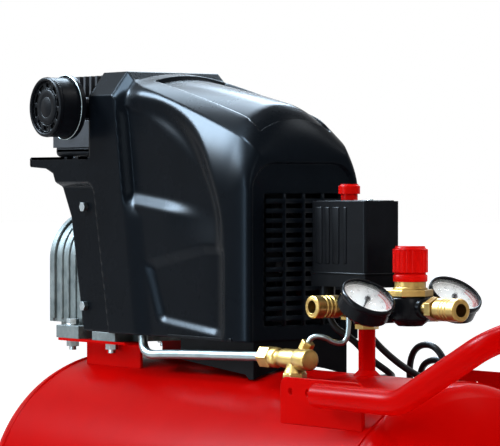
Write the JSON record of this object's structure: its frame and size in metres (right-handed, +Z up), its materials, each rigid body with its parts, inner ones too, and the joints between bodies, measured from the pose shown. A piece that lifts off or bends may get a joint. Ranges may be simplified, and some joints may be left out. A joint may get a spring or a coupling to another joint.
{
  "type": "air compressor",
  "caption": "Direct-driven piston air compressor on a horizontal steel tank, with a grilled motor shroud, gauges, regulator, quick couplers, wheels and a carrying handle",
  "frame": {"origin": "middle of the footprint of the tank, wheels and handle, on the ground", "axes": "+X along the tank towards the handle, +Z up, -Y the side with the discharge tube and filter"},
  "size_m": [0.9205, 0.3726, 0.691],
  "materials": {
    "tank_red": "gloss",
    "shroud_blue_grey": "satin",
    "black_plastic": "satin",
    "red_plastic": "gloss",
    "cast_aluminium": "satin",
    "grey_cast": "satin",
    "brass": "satin",
    "steel": "satin",
    "chrome": "gloss",
    "black_metal": "satin",
    "copper_wire": "satin",
    "rubber": "matte",
    "tyre": "matte",
    "foam": "matte",
    "aluminium_tube": "satin",
    "cord_black": "satin"
  },
  "bodies": {
    "frame": {"axle_bolts": "steel", "bearings": "steel", "check_valve": "brass", "cord_coil": "cord_black", "cord_glands": "black_plastic", "coupler_left_body": "brass", "coupler_right_body": "brass", "crankcase": "cast_aluminium", "crankcase_cover": "cast_aluminium", "crankcase_gasket": "rubber", "cylinder": "grey_cast", "cylinder_head": "grey_cast", "discharge_tube": "aluminium_tube", "drain_valve": "brass", "filter_body": "black_plastic", "filter_cover": "black_plastic", "filter_foam": "foam", "foot_bolts": "steel", "gauge_left_case": "black_metal", "gauge_right_case": "black_metal", "handle_grip": "rubber", "handle_tube": "tank_red", "lower_shroud": "black_plastic", "mains_cord": "cord_black", "mains_plug": "cord_black", "manifold": "brass", "motor_lead": "cord_black", "motor_shields": "cast_aluminium", "pump_saddle": "tank_red", "regulator_body": "black_metal", "riser_pipe": "tank_red", "rubber_feet": "rubber", "safety_valve": "brass", "shroud": "shroud_blue_grey", "shroud_bolts": "steel", "stator": "steel", "switch_base": "black_plastic", "switch_cover": "black_plastic", "tank_brackets": "tank_red", "tank_bungs": "tank_red", "tank_shell": "tank_red", "unloader_tube": "aluminium_tube", "windings": "copper_wire"},
    "rotor": {"motor_shaft": "steel", "rotor": "steel", "cooling_fan": "black_plastic"},
    "piston": {"piston": "cast_aluminium", "con_rod": "cast_aluminium"},
    "switch_knob": {"switch_knob": "red_plastic"},
    "safety_ring": {"safety_ring": "steel"},
    "regulator_knob": {"regulator_knob": "red_plastic"},
    "needle_left": {"gauge_left_needle": "black_plastic"},
    "needle_right": {"gauge_right_needle": "black_plastic"},
    "sleeve_left": {"coupler_left_sleeve": "chrome"},
    "sleeve_right": {"coupler_right_sleeve": "chrome"},
    "drain_screw": {"drain_screw": "brass"},
    "wheel_left": {"wheel_left": "black_plastic", "tyre_left": "tyre"},
    "wheel_right": {"wheel_right": "black_plastic", "tyre_right": "tyre"}
  },
  "joints": [
    {"name": "rotor_spin", "type": "hinge", "parent": "frame", "child": "rotor", "pos_m": [-0.074, 0, 0.484], "axis": [1, 0, 0], "continuous": true},
    {"name": "piston_slide", "type": "slide", "parent": "frame", "child": "piston", "axis": [0, 0, 1], "range_m": [-0.04, 0]},
    {"name": "switch_lift", "type": "slide", "parent": "frame", "child": "switch_knob", "axis": [0, 0, 1], "range_m": [0, 0.005]},
    {"name": "safety_pull", "type": "slide", "parent": "frame", "child": "safety_ring", "axis": [-1, 0, 0], "range_m": [0, 0.003], "stiffness_N_per_m": 2000},
    {"name": "regulator_turn", "type": "hinge", "parent": "frame", "child": "regulator_knob", "pos_m": [0.147, 0.008, 0.495], "axis": [0, 0, 1], "range_deg": [-360, 720]},
    {"name": "needle_left_sweep", "type": "hinge", "parent": "frame", "child": "needle_left", "pos_m": [0.14865, -0.047, 0.45676], "axis": [0.5878, 0, 0.809], "range_deg": [-270, 0], "stiffness_Nm_per_rad": 0.001},
    {"name": "needle_right_sweep", "type": "hinge", "parent": "frame", "child": "needle_right", "pos_m": [0.14865, 0.063, 0.45676], "axis": [0.5878, 0, 0.809], "range_deg": [-270, 0], "stiffness_Nm_per_rad": 0.001},
    {"name": "sleeve_left_slide", "type": "slide", "parent": "frame", "child": "sleeve_left", "axis": [0, -1, 0], "range_m": [-0.003, 0], "stiffness_N_per_m": 2000},
    {"name": "sleeve_right_slide", "type": "slide", "parent": "frame", "child": "sleeve_right", "axis": [1, 0, 0], "range_m": [-0.003, 0], "stiffness_N_per_m": 2000},
    {"name": "drain_turn", "type": "hinge", "parent": "frame", "child": "drain_screw", "pos_m": [-0.074, 0, 0.035], "axis": [0, 0, 1], "range_deg": [-360, 0]},
    {"name": "wheel_left_spin", "type": "hinge", "parent": "frame", "child": "wheel_left", "pos_m": [-0.314, 0.163, 0.075], "axis": [0, 1, 0], "continuous": true},
    {"name": "wheel_right_spin", "type": "hinge", "parent": "frame", "child": "wheel_right", "pos_m": [-0.314, -0.163, 0.075], "axis": [0, 1, 0], "continuous": true}
  ]
}
